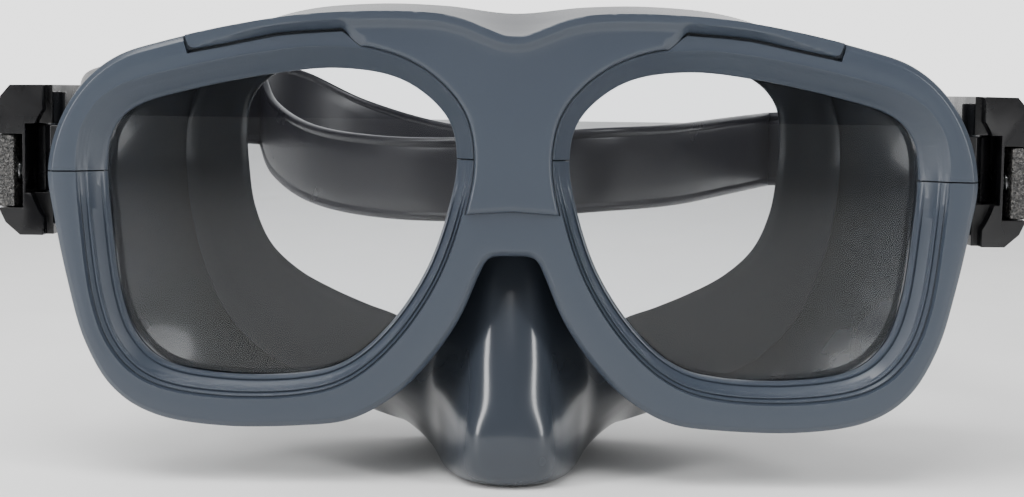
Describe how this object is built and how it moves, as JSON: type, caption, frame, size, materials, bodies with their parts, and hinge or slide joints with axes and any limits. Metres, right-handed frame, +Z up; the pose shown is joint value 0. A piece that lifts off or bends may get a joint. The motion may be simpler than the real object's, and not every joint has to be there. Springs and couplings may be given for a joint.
{
  "type": "diving mask",
  "caption": "Twin-lens diving mask: rigid rim with brow cover, silicone skirt with nose pocket, swivelling push-button buckles and split head strap.",
  "frame": {"origin": "on the flat under the nose pocket that the mask stands on, on the middle plane, 12 mm behind the face of the rim", "axes": "-Y is the way the lenses look, +Z up, +X to the right seen from in front"},
  "size_m": [0.1944, 0.1883, 0.0884],
  "materials": {
    "frame_plastic": "satin moulded polycarbonate, slate blue-grey",
    "skirt_silicone": "glossy dark grey silicone",
    "strap_silicone": "satin black silicone",
    "lens_glass": "clear tempered glass",
    "buckle_plastic": "black acetal, with a crinkle grain on the button",
    "steel": "stainless steel"
  },
  "bodies": {
    "mask": {"skirt": "skirt_silicone", "left_lens": "lens_glass", "right_lens": "lens_glass", "lower_frame": "frame_plastic", "upper_frame": "frame_plastic", "brow_cover": "frame_plastic", "left_buckle_bracket": "buckle_plastic", "right_buckle_bracket": "buckle_plastic", "left_swivel_pin": "steel", "right_swivel_pin": "steel", "strap": "strap_silicone"},
    "left_buckle": {"left_buckle_housing": "buckle_plastic", "left_buckle_cover": "buckle_plastic", "left_pawl_pin": "steel", "left_button_spring": "steel", "left_strap_end": "strap_silicone"},
    "left_button": {"left_release_button": "buckle_plastic"},
    "left_pawl": {"left_lock_pawl": "steel"},
    "left_roller": {"left_strap_roller": "steel"},
    "right_buckle": {"right_buckle_housing": "buckle_plastic", "right_buckle_cover": "buckle_plastic", "right_pawl_pin": "steel", "right_button_spring": "steel", "right_strap_end": "strap_silicone"},
    "right_button": {"right_release_button": "buckle_plastic"},
    "right_pawl": {"right_lock_pawl": "steel"},
    "right_roller": {"right_strap_roller": "steel"}
  },
  "joints": [
    {"name": "left_buckle_swivel", "type": "hinge", "parent": "mask", "child": "left_buckle", "pos_m": [-0.0848, 0, 0.058], "axis": [0, 0, 1], "range_deg": [-12, 30]},
    {"name": "left_button_press", "type": "slide", "parent": "left_buckle", "child": "left_button", "axis": [1, 0, 0], "range_m": [0, 0.0007], "stiffness_N_per_m": 600, "springref_m": -0.002, "deforming": ["left_button_spring"]},
    {"name": "left_pawl_pivot", "type": "hinge", "parent": "left_buckle", "child": "left_pawl", "pos_m": [-0.0942, 0.0095, 0.058], "axis": [0, 0, 1], "range_deg": [0, 8.4]},
    {"name": "left_roller_turn", "type": "hinge", "parent": "left_buckle", "child": "left_roller", "pos_m": [-0.0889, 0.013, 0.058], "axis": [0, 0, 1], "continuous": true},
    {"name": "right_buckle_swivel", "type": "hinge", "parent": "mask", "child": "right_buckle", "pos_m": [0.0848, 0, 0.058], "axis": [0, 0, 1], "range_deg": [-30, 12]},
    {"name": "right_button_press", "type": "slide", "parent": "right_buckle", "child": "right_button", "axis": [-1, 0, 0], "range_m": [0, 0.0007], "stiffness_N_per_m": 600, "springref_m": -0.002, "deforming": ["right_button_spring"]},
    {"name": "right_pawl_pivot", "type": "hinge", "parent": "right_buckle", "child": "right_pawl", "pos_m": [0.0942, 0.0095, 0.058], "axis": [0, 0, 1], "range_deg": [-8.4, 0]},
    {"name": "right_roller_turn", "type": "hinge", "parent": "right_buckle", "child": "right_roller", "pos_m": [0.0889, 0.013, 0.058], "axis": [0, 0, 1], "continuous": true}
  ],
  "couplings": [
    {"joint": "left_pawl_pivot", "follows": "left_button_press", "rad_per_m": 200},
    {"joint": "right_pawl_pivot", "follows": "right_button_press", "rad_per_m": -200}
  ]
}
